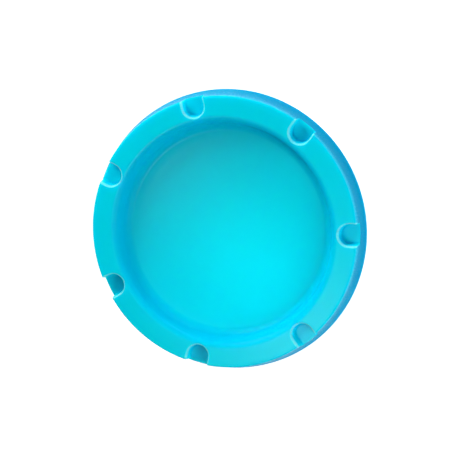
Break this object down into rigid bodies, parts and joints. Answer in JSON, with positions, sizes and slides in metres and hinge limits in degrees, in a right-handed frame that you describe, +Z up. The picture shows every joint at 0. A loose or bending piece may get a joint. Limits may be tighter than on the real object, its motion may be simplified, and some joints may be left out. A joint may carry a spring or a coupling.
{
  "type": "air stone",
  "caption": "Round disc air stone: notched dish cap that twists off, ring of porous stone clamped on a weighted base with suction cups and a swivelling hose tail.",
  "frame": {"origin": "on the tank floor, under the middle of the disc", "axes": "+Z up through the middle of the dish; +X towards the middle of the first notch, to within one degree"},
  "size_m": [0.125, 0.125, 0.0351],
  "materials": {
    "cap_plastic": "translucent, frosted by a fine spark-eroded mould",
    "housing_plastic": "moulded satin",
    "porous_stone": "sintered grit, matt",
    "seal_rubber": "matt",
    "clear_silicone": "clear, slightly milky",
    "stainless": "turned and tumbled"
  },
  "bodies": {
    "base": {"base_housing": "housing_plastic", "bottom_cover": "housing_plastic", "ballast_ring": "stainless", "cover_screw_1": "stainless", "cover_screw_2": "stainless", "cover_screw_3": "stainless", "cover_screw_4": "stainless", "cover_screw_5": "stainless", "cover_screw_6": "stainless", "suction_cup_1": "clear_silicone", "suction_cup_2": "clear_silicone", "suction_cup_3": "clear_silicone", "lower_gasket": "seal_rubber", "stone_ring": "porous_stone", "upper_gasket": "seal_rubber", "pressure_ring": "housing_plastic", "cap_seal": "seal_rubber", "valve_body": "housing_plastic", "valve_nut": "housing_plastic", "valve_washer": "seal_rubber", "valve_spring": "stainless", "valve_retainer": "housing_plastic"},
    "cap": {"notched_cap": "cap_plastic"},
    "poppet": {"valve_poppet": "seal_rubber"},
    "elbow": {"hose_elbow": "housing_plastic", "elbow_seal": "seal_rubber", "elbow_clip": "stainless"}
  },
  "joints": [
    {"name": "cap_twist", "type": "hinge", "parent": "base", "child": "cap", "pos_m": [0, 0, 0.02], "axis": [0, 0, 1], "range_deg": [0, 22]},
    {"name": "valve_lift", "type": "slide", "parent": "base", "child": "poppet", "axis": [0, 0, 1], "range_m": [0, 0.0015], "stiffness_N_per_m": 60, "springref_m": -0.002, "deforming": ["valve_spring"]},
    {"name": "hose_swivel", "type": "hinge", "parent": "base", "child": "elbow", "pos_m": [-0.02703, -0.01893, 0.008], "axis": [0, 0, 1], "range_deg": [-80, 80]}
  ]
}
